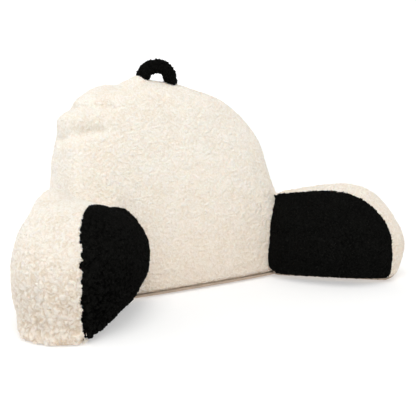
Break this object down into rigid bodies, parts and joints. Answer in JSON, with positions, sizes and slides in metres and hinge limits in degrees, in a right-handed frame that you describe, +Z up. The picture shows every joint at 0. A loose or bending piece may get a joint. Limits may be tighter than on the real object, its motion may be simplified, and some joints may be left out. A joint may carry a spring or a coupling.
{
  "type": "reading pillow with arms",
  "caption": "Stuffed bed-rest pillow with a domed wedge backrest, two splayed arms with dark inner panels, a dark carry loop and a plain base.",
  "frame": {"origin": "middle of the footprint, on the floor", "axes": "+Z up; the front that the sitter leans on faces -Y; +X is to the right of someone who looks at the front"},
  "size_m": [0.8938, 0.4842, 0.4784],
  "materials": {
    "cream_sherpa": "matte curly pile",
    "black_sherpa": "matte curly pile",
    "base_cloth": "matte plain weave"
  },
  "bodies": {
    "root": {"backrest": "cream_sherpa", "arm_left": "cream_sherpa", "arm_right": "cream_sherpa", "arm_panel_left": "black_sherpa", "arm_panel_right": "black_sherpa", "base_panel_back": "base_cloth", "base_panel_left": "base_cloth", "base_panel_right": "base_cloth", "carry_loop": "black_sherpa"}
  },
  "joints": []
}
